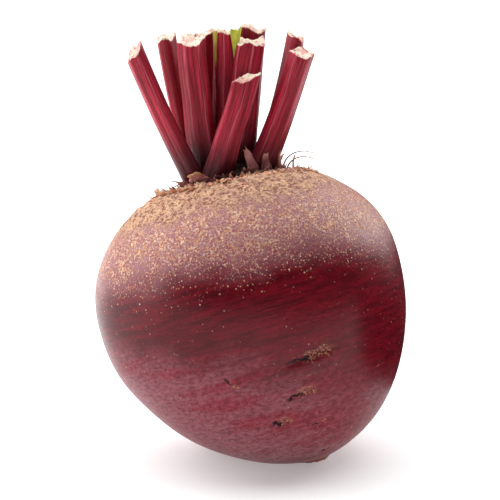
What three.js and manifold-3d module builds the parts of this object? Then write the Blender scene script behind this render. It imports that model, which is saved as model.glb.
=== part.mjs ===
// A beetroot with its leaf stalks trimmed short, resting on a small flat spot under its side.
// Millimetres, +Z up, +X to the right and +Y away from the front. The origin is on the surface
// that the root rests on, under the middle of the object.
import * as THREE from "three";
import { mergeVertices } from "three/addons/utils/BufferGeometryUtils.js";
import Module from "manifold-3d";

const wasm = await Module();
wasm.setup();

// Root: a globe that is fuller at the shoulder than at the root end.
const ROOT_RADIUS = 40;
const CROWN_RISE = 32.8; // widest circle to shoulder, along the growth axis
const ROOT_DROP = 47.1; // widest circle to root end, along the growth axis
const SHOULDER_FULLNESS = 2.14; // superellipse power, 2 is a plain ellipse
const TAPER_FULLNESS = 1.9;
const CROWN_BEND = -1.1; // the growth axis bends to the left at the crown
const ROOT_END_BEND = 5; // and to the right at the root end
const LEAN_LEFT = THREE.MathUtils.degToRad(15); // the crown leans to the left
const LEAN_BACK = THREE.MathUtils.degToRad(12); // and away from the front
const FLAT_SPOT_DEPTH = 2; // how much of the underside is pressed flat
const ROOT_SIDES = 60;
const ROOT_ROWS = 44;

// Low swellings that run from crown to root end: count, height as a share of the radius, phase.
const SWELLINGS = [
  { count: 2, height: 0.012, phase: 0.6 },
  { count: 3, height: 0.008, phase: 2.1 },
  { count: 7, height: 0.004, phase: 0.9 },
];

// Crown: the knob that the stalks grow from, in a shallow moat behind the shoulder.
const CROWN_SHIFT = 3.5; // the crown grows a little to the right of the axis
const KNOB_RADIUS = 10;
const KNOB_RISE = 0.4;
const MOAT_RADIUS = 14;
const MOAT_WIDTH = 4;
const MOAT_DEPTH = 1.4;

// Dry leaf bases: a ring of upright flakes at the knob, and a fringe that lies out over the shoulder.
// tilt is the angle from the growth axis.
const SCALE_RINGS = [
  { count: 13, radius: 12.2, length: 3.8, width: 4.6, tilt: 0.8 },
  { count: 17, radius: 18, length: 4, width: 4.6, tilt: 1.3 },
];
// Two leaf bases that broke off higher, to the right of the stalks. round is in degrees from +X.
const DRY_STUBS = [
  { round: -22, radius: 13, length: 11, width: 5, tilt: 0.2 },
  { round: -7, radius: 16, length: 9, width: 2.8, tilt: 0.05 },
];
const SCALE_THICKNESS = 1.3;
const SCALE_TIP = 0.35; // width that is left at the broken tip, as a share
const SCALE_UNEVEN = { place: 0.6, tilt: 0.3, size: 0.5 }; // spread from flake to flake
const SCALE_SEED = 7;

// Side root scars: two rows, on opposite sides of the root. Angles in degrees, sizes in mm.
const SCAR_ROWS = [-74, 106];
const SCARS = [
  { down: 113.5, turn: 0, length: 14, width: 1.8, depth: 0.9 },
  { down: 125.5, turn: -7, length: 9, width: 1.7, depth: 0.9 },
  { down: 134.5, turn: -21, length: 6, width: 1.6, depth: 0.8 },
  { down: 140, turn: -2, length: 4.5, width: 1.3, depth: 0.6 },
  { down: 159, turn: 3, length: 4.5, width: 1.3, depth: 0.7 },
];
const SCAR_CLIMB = THREE.MathUtils.degToRad(7); // the right end lies higher than the parallel does

// Trimmed tap root.
const TAP_ROOT_RADIUS = 4.5;
const TAP_ROOT_STUB = 0.8; // how far it stands out
const TAP_ROOT_SUNK = 4; // how far it reaches into the root
const TAP_ROOT_TAPER = 0.8; // radius at its end, as a share

// Leaf stalks, front ones first, numbered from 01. base is [right, back] of the crown's middle and tip
// is [right, back, up] of it. size is [width, depth], faces is the way that the ribbed outer side
// looks, in degrees from +X, and slant is how much the cut rises to the right and to the back.
const STEMS = [
  { base: [-7.7, -5.5], tip: [-24, -6, 31.1], size: [6.4, 5.2], faces: 215, slant: [0.8, 0.3] },
  { base: [-4, -8], tip: [4.5, -6, 24.1], size: [6.8, 5.6], faces: 275, slant: [0.65, 0.3] },
  { base: [6, -5], tip: [18.9, -1.5, 30.3], size: [7.8, 6], faces: 320, slant: [0.05, 0.35] },
  { base: [-5.5, -0.5], tip: [-9.6, -1, 33.5], size: [8, 6.2], faces: 235, slant: [0.15, 0.35] },
  { base: [1, -0.5], tip: [5.8, 1.5, 32.7], size: [7.6, 5.6], faces: 285, slant: [0.05, 0.35] },
  { base: [7.5, 2], tip: [17.4, 4.5, 33.7], size: [6.2, 5], faces: 20, slant: [-0.3, 0.1] },
  { base: [-8, 3], tip: [-16.2, 5, 33.3], size: [7, 5.4], faces: 160, slant: [0.1, 0.15] },
  { base: [-0.8, 3.5], tip: [-0.9, 4.5, 34.9], size: [6.4, 5.4], faces: 260, slant: [0.05, 0.15] },
  { base: [-4, 7], tip: [-5.6, 9, 34.1], size: [7, 5.4], faces: 110, slant: [0.1, 0.1] },
  { base: [2, 7], tip: [6.2, 8.5, 35.3], size: [7.4, 5.2], faces: 75, slant: [-0.05, 0.1] },
  { base: [-3.5, 11], tip: [-9, 19, 24], size: [6.8, 5.2], faces: 112, slant: [0, -0.3] },
  { base: [3, 11], tip: [2.5, 18.5, 19], size: [6.4, 5], faces: 82, slant: [0.1, -0.3] },
];
const STEM_SIDES = 16;
const STEM_STEPS = 7;
const STEM_SUNK = 5; // how far the centre line starts below the crown, before it is cut to it
const STEM_BOW = 0.03; // bow towards the outer side, as a share of the length
const STEM_RIBS = 6;
const RIB_HEIGHT = 0.05; // as a share of the half width
const CHANNEL_DEPTH = 0.3; // hollow of the inner side, as a share of the half depth
const BASE_FLARE = 0.28; // the stalk broadens where it clasps the crown
const CUT_RAGGED = 0.5; // unevenness of the cut end, in mm

// Young leaves in the heart of the crown, cut with the stalks.
const HEART_LEAVES = [
  { name: "heart_leaf_1", base: [-3.2, 1.8], tip: [-3.4, 1.2, 35.1], width: 1.8, faces: 250 },
  { name: "heart_leaf_2", base: [1.6, 1.2], tip: [1.8, 1, 35.9], width: 3.2, faces: 275 },
];
const LEAF_THICKNESS = 0.8;
const LEAF_WAVE = 0.5;
const LEAF_WAVES = 1.5; // from foot to tip
const LEAF_FOOT = 0.45; // width at the foot, as a share

const GAP = 0.3; // clearance between neighbouring pieces

const SKIN = new THREE.MeshStandardMaterial({ color: 0x6b2a3a, roughness: 0.5, metalness: 0 });
const STALK = new THREE.MeshStandardMaterial({ color: 0x8c1028, roughness: 0.45, metalness: 0 });
const YOUNG_LEAF = new THREE.MeshStandardMaterial({ color: 0x8f9a1f, roughness: 0.6, metalness: 0 });

// A closed geometry as a solid that can be joined and cut.
function solidOf(geometry) {
  const bare = new THREE.BufferGeometry();
  bare.setAttribute("position", geometry.getAttribute("position"));
  bare.setIndex(geometry.index);
  const merged = mergeVertices(bare, 1e-4);
  return new wasm.Manifold(
    new wasm.Mesh({
      numProp: 3,
      vertProperties: new Float32Array(merged.attributes.position.array),
      triVerts: new Uint32Array(merged.index.array),
    }),
  );
}

// A solid back as a geometry, as its one largest body.
function geometryOf(solid) {
  const body = solid.decompose().reduce((a, b) => (a.volume() > b.volume() ? a : b));
  const mesh = body.getMesh();
  const geometry = new THREE.BufferGeometry();
  geometry.setAttribute("position", new THREE.BufferAttribute(mesh.vertProperties, 3));
  geometry.setIndex(new THREE.BufferAttribute(mesh.triVerts, 1));
  geometry.computeVertexNormals();
  return geometry;
}

// Moves every vertex of a geometry by a rule.
function reshape(geometry, rule) {
  const position = geometry.getAttribute("position");
  const point = new THREE.Vector3();
  for (let i = 0; i < position.count; i++) {
    point.fromBufferAttribute(position, i);
    const moved = rule(point);
    position.setXYZ(i, moved.x, moved.y, moved.z);
  }
  return geometry;
}

// Even numbers from 0 to 1 that are the same on every run.
function seededDraw(seed) {
  let state = seed;
  return () => {
    state = (state * 16807) % 2147483647;
    return state / 2147483647;
  };
}

// Growth frame to resting frame: +Z along the growth axis turns to where the crown leans.
const lean = new THREE.Matrix4()
  .makeRotationY(-LEAN_LEFT)
  .premultiply(new THREE.Matrix4().makeRotationX(-LEAN_BACK));

// How far the crown's moat and knob move the surface along the growth axis.
function crownRelief(x, y) {
  const out = Math.hypot(x - CROWN_SHIFT, y);
  const moat = MOAT_DEPTH * Math.exp(-(((out - MOAT_RADIUS) / MOAT_WIDTH) ** 2));
  const knob = KNOB_RISE * Math.exp(-((out / KNOB_RADIUS) ** 4));
  return knob - moat;
}

// A point on the root's skin in the growth frame: down is the angle from the crown, round the angle
// about the growth axis.
function skinPoint(down, round) {
  const upper = down < Math.PI / 2;
  const power = 2 / (upper ? SHOULDER_FULLNESS : TAPER_FULLNESS);
  const swell = SWELLINGS.reduce((sum, s) => sum + s.height * Math.cos(s.count * round + s.phase), 1);
  const radius = ROOT_RADIUS * Math.sin(down) ** power * swell;
  const share = Math.abs(Math.cos(down)) ** power;
  const height = share * (upper ? CROWN_RISE : -ROOT_DROP);
  const bend = share ** 2 * (upper ? CROWN_BEND : ROOT_END_BEND);
  const x = radius * Math.cos(round) + bend;
  const y = radius * Math.sin(round);
  return new THREE.Vector3(x, y, upper ? height + crownRelief(x, y) : height);
}

// The way down and the way out of the skin at a point, from its close neighbours.
function skinFrame(down, round) {
  const step = 0.02;
  const along = skinPoint(down + step, round).sub(skinPoint(down - step, round)).normalize();
  const about = skinPoint(down, round + step).sub(skinPoint(down, round - step));
  return { along, out: along.clone().cross(about).normalize() };
}

function rootGlobe() {
  const globe = new THREE.SphereGeometry(1, ROOT_SIDES, ROOT_ROWS).rotateX(Math.PI / 2);
  reshape(globe, (p) => skinPoint(Math.acos(THREE.MathUtils.clamp(p.z, -1, 1)), Math.atan2(p.y, p.x)));
  return solidOf(globe);
}

// A side root scar: a lens-shaped groove along the parallel that it grew on.
function scarGroove(scar, row) {
  const down = THREE.MathUtils.degToRad(scar.down);
  const round = THREE.MathUtils.degToRad(row + scar.turn);
  const { along, out } = skinFrame(down, round);
  const across = new THREE.Vector3().crossVectors(along, out);
  const place = new THREE.Matrix4().makeBasis(across, along, out).setPosition(skinPoint(down, round));
  const groove = new THREE.SphereGeometry(1, 12, 8);
  groove.scale(scar.length / 2, scar.width / 2, scar.depth).rotateZ(SCAR_CLIMB);
  return solidOf(groove.applyMatrix4(place));
}

// A dry leaf base: a flat narrowing flake that stands out from the crown.
function dryScale(ring, round, size, tilt) {
  const flake = new THREE.CylinderGeometry(SCALE_TIP / 2, 0.5, 1, 6, 2);
  flake.scale(ring.width * size, ring.length * size, SCALE_THICKNESS);
  flake.rotateX(Math.PI / 2 - tilt).rotateZ(round - Math.PI / 2);
  const x = CROWN_SHIFT + ring.radius * Math.cos(round);
  const y = ring.radius * Math.sin(round);
  const down = Math.asin((Math.hypot(x - CROWN_BEND, y) / ROOT_RADIUS) ** (SHOULDER_FULLNESS / 2));
  const foot = skinPoint(down, Math.atan2(y, x - CROWN_BEND));
  return solidOf(flake.translate(foot.x, foot.y, foot.z + 0.25 * SCALE_THICKNESS));
}

// The globe with all that grows on it, and the resting plane that cuts its underside flat.
function rootBody() {
  const globe = rootGlobe();
  const restHeight = globe.transform(lean.elements).boundingBox().min[2] + FLAT_SPOT_DEPTH;
  const ground = new THREE.BoxGeometry(4 * ROOT_RADIUS, 4 * ROOT_RADIUS, ROOT_RADIUS);
  ground.translate(0, 0, restHeight - ROOT_RADIUS / 2);
  let body = globe;
  const stubLength = TAP_ROOT_SUNK + TAP_ROOT_STUB;
  const stubEnd = TAP_ROOT_TAPER * TAP_ROOT_RADIUS;
  const stub = new THREE.CylinderGeometry(TAP_ROOT_RADIUS, stubEnd, stubLength, 12);
  stub.rotateX(Math.PI / 2).translate(ROOT_END_BEND, 0, stubLength / 2 - ROOT_DROP - TAP_ROOT_STUB);
  body = body.add(solidOf(stub));
  const draw = seededDraw(SCALE_SEED);
  for (const ring of SCALE_RINGS) {
    for (let i = 0; i < ring.count; i++) {
      const round = ((i + SCALE_UNEVEN.place * draw()) / ring.count) * 2 * Math.PI;
      const tilt = ring.tilt + SCALE_UNEVEN.tilt * (draw() - 0.5);
      const size = 1 + SCALE_UNEVEN.size * (draw() - 0.5);
      body = body.add(dryScale(ring, round, size, tilt));
    }
  }
  for (const stub of DRY_STUBS) {
    body = body.add(dryScale(stub, THREE.MathUtils.degToRad(stub.round), 1, stub.tilt));
  }
  for (const row of SCAR_ROWS) {
    for (const scar of SCARS) body = body.subtract(scarGroove(scar, row));
  }
  return body.transform(lean.elements).subtract(solidOf(ground));
}

// The crown's middle in the resting frame.
const crownMiddle = new THREE.Vector3(CROWN_SHIFT, 0, CROWN_RISE + KNOB_RISE).applyMatrix4(lean);

// One stalk, or with extra its outline grown by that much, from a cylinder bent along its centre line.
function stemSolid(stem, extra = 0) {
  const base = new THREE.Vector3(...stem.base, -STEM_SUNK).add(crownMiddle);
  const tip = new THREE.Vector3(...stem.tip).add(crownMiddle);
  const faces = THREE.MathUtils.degToRad(stem.faces);
  const outward = new THREE.Vector3(Math.cos(faces), Math.sin(faces), 0);
  const length = base.distanceTo(tip);
  const middle = base.clone().lerp(tip, 0.5).addScaledVector(outward, STEM_BOW * length);
  const line = new THREE.QuadraticBezierCurve3(base, middle, tip);
  const stalk = new THREE.CylinderGeometry(1, 1, 1, STEM_SIDES, STEM_STEPS);
  return solidOf(
    reshape(stalk, (p) => {
      const along = p.y + 0.5;
      const ring = Math.hypot(p.x, p.z);
      const round = Math.atan2(p.x, p.z);
      const flare = 1 + BASE_FLARE * (1 - along) ** 3;
      const rib = 1 + (Math.cos(round) > 0 ? RIB_HEIGHT * Math.cos(STEM_RIBS * round) : 0);
      const side = ring * (0.5 * stem.size[0] * flare * rib + extra) * Math.sin(round);
      const channel = Math.cos(round) < 0 ? CHANNEL_DEPTH * Math.cos(round) ** 2 : 0;
      const out = ring * (0.5 * stem.size[1] * rib * (1 - channel) + extra) * Math.cos(round);
      const forward = line.getTangent(along);
      const facing = outward.clone().addScaledVector(forward, -outward.dot(forward)).normalize();
      const sideways = new THREE.Vector3().crossVectors(forward, facing);
      const ragged = CUT_RAGGED * Math.sin(3 * round + stem.faces) * ring;
      const offset = sideways.multiplyScalar(side).addScaledVector(facing, out);
      const [right, back] = stem.slant;
      const cut = along > 0.999 ? right * offset.x + back * offset.y + ragged + extra : 0;
      return line.getPoint(along).add(offset).addScaledVector(forward, cut);
    }),
  );
}

// A young leaf: a thin waved blade that broadens upwards.
function leafSolid(leaf) {
  const base = new THREE.Vector3(...leaf.base, -STEM_SUNK).add(crownMiddle);
  const tip = new THREE.Vector3(...leaf.tip).add(crownMiddle);
  const faces = THREE.MathUtils.degToRad(leaf.faces);
  const facing = new THREE.Vector3(Math.cos(faces), Math.sin(faces), 0);
  const sideways = new THREE.Vector3(facing.y, -facing.x, 0);
  const blade = new THREE.BoxGeometry(1, LEAF_THICKNESS, 1, 4, 1, 8);
  return solidOf(
    reshape(blade, (p) => {
      const along = p.z + 0.5;
      const side = p.x * leaf.width * THREE.MathUtils.lerp(LEAF_FOOT, 1, along);
      const wave = LEAF_WAVE * Math.sin(2 * Math.PI * LEAF_WAVES * along + 2 * p.x) * along;
      return base
        .clone()
        .lerp(tip, along)
        .addScaledVector(sideways, side)
        .addScaledVector(facing, p.y + wave);
    }),
  );
}

const beetroot = new THREE.Group();
beetroot.name = "beetroot";

function place(name, solid, material) {
  const mesh = new THREE.Mesh(geometryOf(solid), material);
  mesh.name = name;
  beetroot.add(mesh);
}

const root = rootBody();
place("root_body", root, SKIN);

// Each stalk ends a gap above the crown, and gives way to the stalks before it in the list.
const aroundRoot = [
  [0, 0, GAP],
  [GAP, 0, 0],
  [-GAP, 0, 0],
  [0, GAP, 0],
  [0, -GAP, 0],
];
let taken = aroundRoot.reduce((sum, shift) => sum.add(root.translate(shift)), root);
STEMS.forEach((stem, i) => {
  const number = String(i + 1).padStart(2, "0");
  place(`stem_${number}`, stemSolid(stem).subtract(taken), STALK);
  taken = taken.add(stemSolid(stem, GAP));
});
for (const leaf of HEART_LEAVES) place(leaf.name, leafSolid(leaf).subtract(taken), YOUNG_LEAF);

// The origin goes under the middle of the object, on the resting plane.
const box = new THREE.Box3().setFromObject(beetroot);
const middle = box.getCenter(new THREE.Vector3());
beetroot.position.set(-middle.x, -middle.y, -box.min.z);

export default beetroot;
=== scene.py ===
"""A beetroot with its leaf stalks trimmed short, lying on a pale studio floor."""

import random
from math import acos, asin, atan2, copysign, cos, exp, hypot, pi, radians, sin

import bmesh
import bpy
from mathutils import Matrix, Vector, noise


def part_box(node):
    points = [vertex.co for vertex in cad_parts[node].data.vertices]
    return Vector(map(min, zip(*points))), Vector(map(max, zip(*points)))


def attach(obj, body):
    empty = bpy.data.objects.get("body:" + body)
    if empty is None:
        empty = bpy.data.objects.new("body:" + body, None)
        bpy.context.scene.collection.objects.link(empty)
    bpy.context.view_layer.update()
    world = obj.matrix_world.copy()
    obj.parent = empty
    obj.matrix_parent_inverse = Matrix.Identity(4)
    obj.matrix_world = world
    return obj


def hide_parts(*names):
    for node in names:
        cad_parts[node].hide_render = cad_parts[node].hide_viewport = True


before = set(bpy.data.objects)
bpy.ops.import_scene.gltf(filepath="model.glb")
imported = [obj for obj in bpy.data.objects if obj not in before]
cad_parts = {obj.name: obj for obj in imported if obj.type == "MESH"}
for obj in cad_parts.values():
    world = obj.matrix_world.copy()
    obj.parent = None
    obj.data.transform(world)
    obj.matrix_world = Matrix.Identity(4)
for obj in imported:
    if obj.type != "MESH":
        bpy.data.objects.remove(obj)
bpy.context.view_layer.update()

MM = 0.001

# Growth form of the root, in millimetres, as in the solids.
ROOT_RADIUS = 40.0
CROWN_RISE = 32.8
ROOT_DROP = 47.1
SHOULDER_FULLNESS = 2.14
TAPER_FULLNESS = 1.9
CROWN_BEND = -1.1
ROOT_END_BEND = 5.0
LEAN_LEFT = radians(15)
LEAN_BACK = radians(12)
FLAT_SPOT_DEPTH = 2.0
SWELLINGS = ((2, 0.012, 0.6), (3, 0.008, 2.1), (7, 0.004, 0.9))
CROWN_SHIFT = 3.5
KNOB_RADIUS = 10.0
KNOB_RISE = 0.4
MOAT_RADIUS = 14.0
MOAT_WIDTH = 4.0
MOAT_DEPTH = 1.4
TAP_ROOT_RADIUS = 4.5
TAP_ROOT_STUB = 0.8

# How finely the root is measured to find its resting place, and which rows are its underside.
MEASURE_STEPS = 120
UNDERSIDE_ROWS = slice(60, 110)

# Fineness of the root's skin and its small relief, in millimetres.
SKIN_SIDES = 400
SKIN_ROWS = 230
LUMP_SIZE = 17.0
LUMP_HEIGHT = 0.45
CREASE_SIZE = 1.8
CREASE_HEIGHT = 0.5
CREASE_LEVELS = (20.0, 29.0)

# Folds of the crown's rim: the ring where they end, the width over which they fade, their height, and
# how close they follow each other outwards and round.
RIM_RING = 22.0
RIM_FADE = 5.0
RIM_FOLD = 1.1
FOLDS_OUTWARD = 0.5
FOLDS_ROUND = 2.6

# Shade in the moat. It reaches out through a gap in the corky rim, under the front stalks.
MOAT_SHADE = 0.95
MOAT_SHADE_EDGE = (14.8, 12.8)
FOLD_SHIFT = 1.4
GAP_TURN = radians(-125)
GAP_SPREAD = radians(22)
GAP_REACH = 3.4

# End of the trimmed tap root: where it starts, its edge, its cork and its bumps.
TAP_ROOT_FROM = 0.9 * pi
TAP_ROOT_EDGE = (TAP_ROOT_RADIUS + 0.6, TAP_ROOT_RADIUS - 0.8)
TAP_ROOT_CORK = 0.8
TAP_ROOT_BUMP = 0.25
TAP_ROOT_BUMP_SIZE = 1.1

# Side root scars: degrees down from the crown and round from the row, length, width and depth, and
# degrees that the right end climbs. The last one is a plain scratch.
SCAR_ROWS = (-74, 106)
SCARS = (
    (113.5, 0, 14.0, 1.8, 0.9, 6),
    (125.5, -7, 9.0, 1.7, 0.9, 9),
    (134.5, -21, 6.0, 1.6, 0.8, 6),
    (140, -2, 4.5, 1.3, 0.6, 6),
    (159, 3, 4.5, 1.3, 0.7, 20),
    (115.5, -33, 4.4, 0.7, 0.35, -62),
)

# The skin's length below the waist against a ball's, how far a scar's marks reach as shares of its half
# length and its width, how sharp its groove is, and the share that stands for no scar.
SCAR_STRETCH = 1.08
SCAR_END = 1.4
SCAR_SIDE = 2.5
SCAR_SHARPNESS = 1.6
FAR = 99.0

# Leaf stalks: base and tip from the crown's middle, width, depth, facing in degrees, and how much the
# cut rises to the right and to the back.
STALKS = {
    "stem_01": ((-7.7, -5.5), (-24, -6, 31.1), 6.4, 5.2, 215, (0.8, 0.3)),
    "stem_02": ((-4, -8), (4.5, -6, 24.1), 6.8, 5.6, 275, (0.65, 0.3)),
    "stem_03": ((6, -5), (18.9, -1.5, 30.3), 7.8, 6.0, 320, (0.05, 0.35)),
    "stem_04": ((-5.5, -0.5), (-9.6, -1, 33.5), 8.0, 6.2, 235, (0.15, 0.35)),
    "stem_05": ((1, -0.5), (5.8, 1.5, 32.7), 7.6, 5.6, 285, (0.05, 0.35)),
    "stem_06": ((7.5, 2), (17.4, 4.5, 33.7), 6.2, 5.0, 20, (-0.3, 0.1)),
    "stem_07": ((-8, 3), (-16.2, 5, 33.3), 7.0, 5.4, 160, (0.1, 0.15)),
    "stem_08": ((-0.8, 3.5), (-0.9, 4.5, 34.9), 6.4, 5.4, 260, (0.05, 0.15)),
    "stem_09": ((-4, 7), (-5.6, 9, 34.1), 7.0, 5.4, 110, (0.1, 0.1)),
    "stem_10": ((2, 7), (6.2, 8.5, 35.3), 7.4, 5.2, 75, (-0.05, 0.1)),
    "stem_11": ((-3.5, 11), (-9, 19, 24), 6.8, 5.2, 112, (0.0, -0.3)),
    "stem_12": ((3, 11), (2.5, 18.5, 19), 6.4, 5.0, 82, (0.1, -0.3)),
}
STALK_SIDES = 84
STALK_ROWS = 72
STALK_SUNK = 5.0
STALK_BOW = 0.03
STALK_SWAY = 0.35
STALK_SWAYS = 3.0
SEED_PER_DEGREE = 0.37
STALK_RIBS = 6
RIB_HEIGHT = 0.09
RIB_MEAN = 0.65
RIB_UNEVEN = 0.03
RIB_UNEVEN_ROUND = 2.5
RIB_UNEVEN_ALONG = 2.0
RIBBED_SIDE = (-0.25, 0.35)
CHANNEL_DEPTH = 0.3
BASE_FLARE = 0.28
GRAIN_ALONG = 0.35

# The cut end of a stalk: its share and the foot's share of the rows, the height of its waves, hollow,
# bumps and shreds in millimetres, and how far along the stalk its slant, edge and flesh start.
CUT_SHARE = 0.2
FOOT_SHARE = 0.03
CUT_SEAM = 0.001
CUT_RAGGED = 0.5
CUT_WAVES = 3
CUT_HOLLOW = 0.3
CUT_BUMP = 0.4
CUT_BUMPS_PER_MM = 0.8
CUT_SHRED = 0.6
CUT_SHREDS_PER_MM = 2.3
CUT_SLANT_FROM = 0.8
CUT_EDGE_FROM = 0.95
CUT_FLESH_FROM = 0.985
CUT_CORNER = radians(50)

# Strips of young leaf in the heart: base, tip, width, facing in degrees, share of red.
HEART_LEAVES = {
    "heart_leaf_1": ((-3.2, 1.8), (-3.4, 1.2, 35.1), 1.4, 250, 0.45),
    "heart_leaf_2": ((1.6, 1.2), (1.8, 1, 35.9), 2.8, 275, 0.0),
}
LEAF_COLUMNS = 14
LEAF_ROWS = 60
LEAF_THICKNESS = 0.5
LEAF_STEM_SHARE = 0.2
LEAF_TOP_FROM = 0.8
LEAF_RED_SPAN = (0.9, 0.65)
LEAF_WAVE = 0.4
LEAF_WAVES = 9
LEAF_WAVE_SKEW = 2
LEAF_CRUMPLE = 0.5
LEAF_CRUMPLES_PER_MM = 0.9
LEAF_RAGGED = 1.2
LEAF_RAGS_PER_MM = 1.3

LEAN = Matrix.Rotation(-LEAN_BACK, 3, "X") @ Matrix.Rotation(-LEAN_LEFT, 3, "Y")


def crown_relief(x, y):
    """Height of the knob less the depth of the moat round it, at a place on the crown."""
    out = hypot(x - CROWN_SHIFT, y)
    moat = MOAT_DEPTH * exp(-(((out - MOAT_RADIUS) / MOAT_WIDTH) ** 2))
    knob = KNOB_RISE * exp(-((out / KNOB_RADIUS) ** 4))
    return knob - moat


def skin_point(down, around):
    """A point on the root in its growth frame, in millimetres."""
    upper = down < pi / 2
    power = 2 / (SHOULDER_FULLNESS if upper else TAPER_FULLNESS)
    swell = 1 + sum(height * cos(count * around + phase) for count, height, phase in SWELLINGS)
    radius = ROOT_RADIUS * max(sin(down), 0.0) ** power * swell
    share = abs(cos(down)) ** power
    bend = share**2 * (CROWN_BEND if upper else ROOT_END_BEND)
    x = radius * cos(around) + bend
    y = radius * sin(around)
    if upper:
        return Vector((x, y, share * CROWN_RISE + crown_relief(x, y)))
    stub = TAP_ROOT_STUB * exp(-((radius / TAP_ROOT_RADIUS) ** 6))
    return Vector((x, y, -share * ROOT_DROP - stub))


def resting_place():
    """The move from the leaned growth frame to the row frame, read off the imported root's box."""
    rows = [pi * (i + 0.5) / MEASURE_STEPS for i in range(MEASURE_STEPS)]
    sides = [2 * pi * i / MEASURE_STEPS for i in range(MEASURE_STEPS)]
    points = [LEAN @ skin_point(down, around) for down in rows for around in sides]
    underside = [LEAN @ skin_point(down, around) for down in rows[UNDERSIDE_ROWS] for around in sides]
    low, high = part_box("root_body")
    middle = (low + high) / 2 / MM
    x = middle.x - (min(p.x for p in points) + max(p.x for p in points)) / 2
    y = middle.y - (min(p.y for p in points) + max(p.y for p in points)) / 2
    lowest = min(p.z for p in underside)
    return Vector((x, y, -lowest - FLAT_SPOT_DEPTH))


PLACE = resting_place()
CROWN_MIDDLE = LEAN @ Vector((CROWN_SHIFT, 0, CROWN_RISE + KNOB_RISE)) + PLACE


def smooth_step(low, high, value):
    t = min(max((value - low) / (high - low), 0.0), 1.0)
    return t * t * (3 - 2 * t)


def down_angle(vert):
    """Angle of a unit sphere's vertex down from its pole."""
    return acos(min(max(vert.co.z, -1.0), 1.0))


def new_object(name, shape, material):
    """A bmesh as an object of the scene."""
    mesh = bpy.data.meshes.new(name)
    shape.to_mesh(mesh)
    shape.free()
    mesh.materials.append(material)
    made = bpy.data.objects.new(name, mesh)
    bpy.context.scene.collection.objects.link(made)
    return made


def finished_piece(name, shape, material, attributes):
    """A smooth piece that rides on the root, with its vertex attributes."""
    piece = new_object(name, shape, material)
    for label, values in attributes.items():
        if isinstance(values[0], Vector):
            layer = piece.data.attributes.new(label, "FLOAT_VECTOR", "POINT")
            layer.data.foreach_set("vector", [number for value in values for number in value])
        else:
            layer = piece.data.attributes.new(label, "FLOAT", "POINT")
            layer.data.foreach_set("value", values)
    piece.data.shade_smooth()
    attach(piece, "root")
    return piece


def give_thickness(piece, thickness):
    """Makes a sheet as thick as given, in millimetres, half to each side."""
    wall = piece.modifiers.new("thickness", "SOLIDIFY")
    wall.thickness = thickness * MM
    wall.offset = 0


# Sockets of a Mix node that mixes colours.
MIX_SHARE = 0
MIX_FIRST = 6
MIX_SECOND = 7
MIX_RESULT = 2


class Nodes:
    """A node tree, with short ways to add and join nodes."""

    def __init__(self, tree):
        self.tree = tree

    def add(self, kind, inputs=None, **settings):
        node = self.tree.nodes.new(kind)
        for key, value in settings.items():
            setattr(node, key, value)
        for key, value in (inputs or {}).items():
            self.feed(node.inputs[key], value)
        return node

    def feed(self, socket, value):
        if isinstance(value, bpy.types.NodeSocket):
            self.tree.links.new(value, socket)
        else:
            socket.default_value = value

    def math(self, operation, a, b=0.0):
        return self.add("ShaderNodeMath", {0: a, 1: b}, operation=operation).outputs[0]

    def times(self, *values):
        result = values[0]
        for value in values[1:]:
            result = self.math("MULTIPLY", result, value)
        return result

    def plus(self, *values):
        result = values[0]
        for value in values[1:]:
            result = self.math("ADD", result, value)
        return result

    def step(self, value, low, high):
        span = {"Value": value, "From Min": low, "From Max": high}
        return self.add("ShaderNodeMapRange", span, interpolation_type="SMOOTHSTEP").outputs["Result"]

    def mix(self, share, a, b):
        colours = {MIX_SHARE: share, MIX_FIRST: a, MIX_SECOND: b}
        node = self.add("ShaderNodeMix", colours, data_type="RGBA", clamp_factor=True)
        return node.outputs[MIX_RESULT]

    def noise(self, vector, scale, detail=3.0, roughness=0.55):
        grain = {"Vector": vector, "Scale": scale, "Detail": detail, "Roughness": roughness}
        return self.add("ShaderNodeTexNoise", grain, normalize=True).outputs["Fac"]

    def stretched(self, vector, scale):
        return self.add("ShaderNodeMapping", {"Vector": vector, "Scale": scale}).outputs[0]

    def split(self, vector):
        return self.add("ShaderNodeSeparateXYZ", {"Vector": vector}).outputs

    def object_place(self):
        return self.add("ShaderNodeTexCoord").outputs["Object"]

    def attribute(self, name, output="Fac"):
        return self.add("ShaderNodeAttribute", attribute_name=name).outputs[output]

    def group(self, tree, inputs):
        return self.add("ShaderNodeGroup", inputs, node_tree=tree).outputs


def new_group(name, inputs, outputs):
    """A shader node group with named sockets, its nodes and its two ends."""
    tree = bpy.data.node_groups.new(name, "ShaderNodeTree")
    for label, kind in inputs.items():
        tree.interface.new_socket(name=label, in_out="INPUT", socket_type=kind)
    for label, kind in outputs.items():
        tree.interface.new_socket(name=label, in_out="OUTPUT", socket_type=kind)
    nodes = Nodes(tree)
    entry = nodes.add("NodeGroupInput")
    leave = nodes.add("NodeGroupOutput")
    return tree, nodes, entry.outputs, leave.inputs


def speckle_group():
    """Small round specks: Scale is specks per unit, Cover the share that show, Size their radius."""
    tree, nodes, given, result = new_group(
        "speckle",
        {
            "Vector": "NodeSocketVector",
            "Scale": "NodeSocketFloat",
            "Cover": "NodeSocketFloat",
            "Size": "NodeSocketFloat",
        },
        {"Mask": "NodeSocketFloat"},
    )
    cells = nodes.add("ShaderNodeTexVoronoi", {"Vector": given["Vector"], "Scale": given["Scale"]})
    parts = nodes.add("ShaderNodeSeparateColor", {"Color": cells.outputs["Color"]}).outputs
    shown = nodes.step(nodes.math("SUBTRACT", given["Cover"], parts[0]), -0.05, 0.05)
    radius = nodes.times(given["Size"], nodes.plus(0.6, nodes.times(parts[1], 0.6)))
    inner = nodes.times(radius, 0.55)
    dot = nodes.step(cells.outputs["Distance"], radius, inner)
    nodes.feed(result["Mask"], nodes.times(dot, shown))
    return tree


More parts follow.
